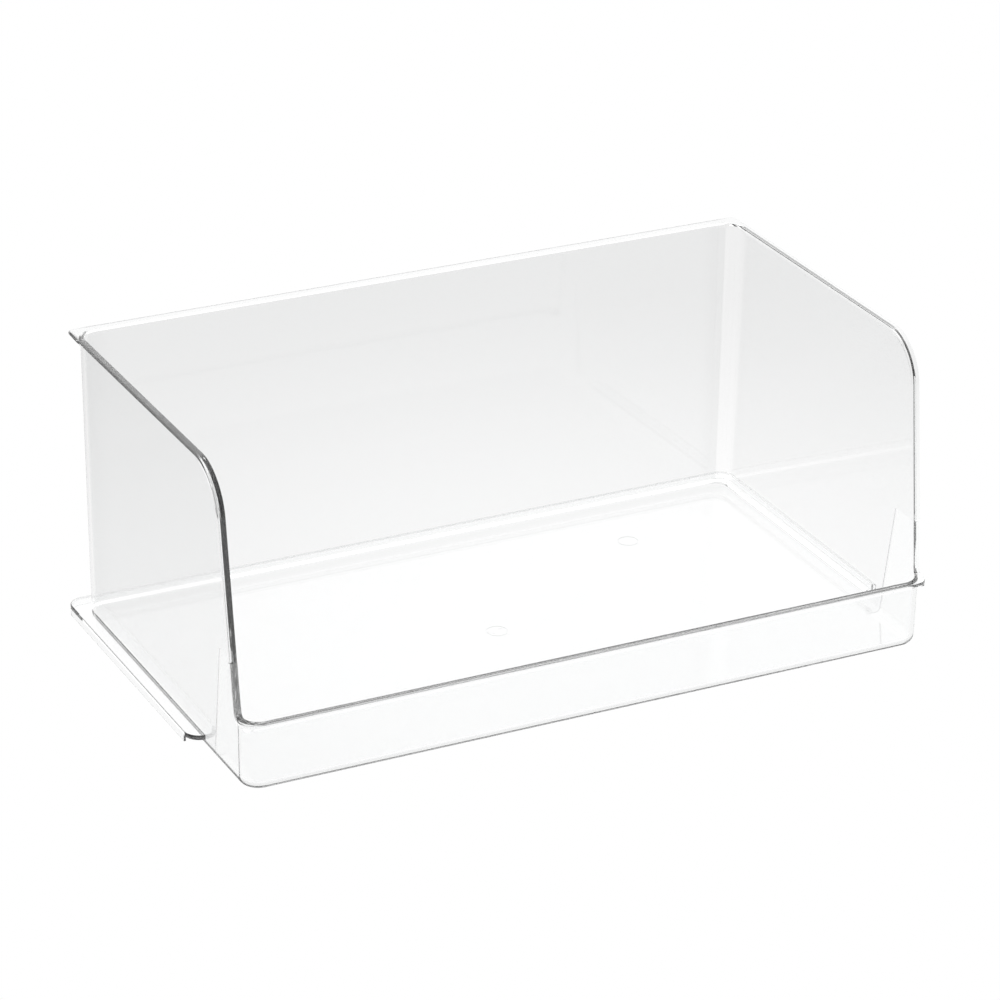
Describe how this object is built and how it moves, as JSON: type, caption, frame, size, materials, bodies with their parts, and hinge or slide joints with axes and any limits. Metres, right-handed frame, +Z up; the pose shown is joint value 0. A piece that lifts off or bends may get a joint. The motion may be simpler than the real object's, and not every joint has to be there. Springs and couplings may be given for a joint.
{
  "type": "open-front storage bin",
  "caption": "Clear stackable storage bin with a low front lip, side walls that slope up to a level back, an outward rim all round and a skirted stacking ledge near its foot.",
  "frame": {"origin": "middle of the whole footprint, rim and ledge included, on the surface that the bin stands on", "axes": "+X across the bin to the right as seen from its open front, +Y from the open front to the back, +Z up"},
  "size_m": [0.3754, 0.211, 0.1524],
  "materials": {
    "clear_floor": "clear colourless acrylic, polished both sides",
    "clear_wall": "clear colourless acrylic, polished both sides, with a faint ripple",
    "clear_lip": "clear colourless acrylic, polished both sides",
    "clear_rim": "clear colourless acrylic strip, polished, with softly rounded edges",
    "clear_ledge": "clear colourless acrylic strip, polished",
    "clear_skirt": "clear colourless acrylic strip, thin and polished"
  },
  "bodies": {
    "root": {"floor_tray": "clear_floor", "back_wall": "clear_wall", "left_wall": "clear_wall", "right_wall": "clear_wall", "front_lip": "clear_lip", "front_rim": "clear_rim", "back_rim": "clear_rim", "left_rim": "clear_rim", "right_rim": "clear_rim", "back_ledge": "clear_ledge", "left_ledge": "clear_ledge", "right_ledge": "clear_ledge", "back_skirt": "clear_skirt", "left_skirt": "clear_skirt", "right_skirt": "clear_skirt"}
  },
  "joints": []
}
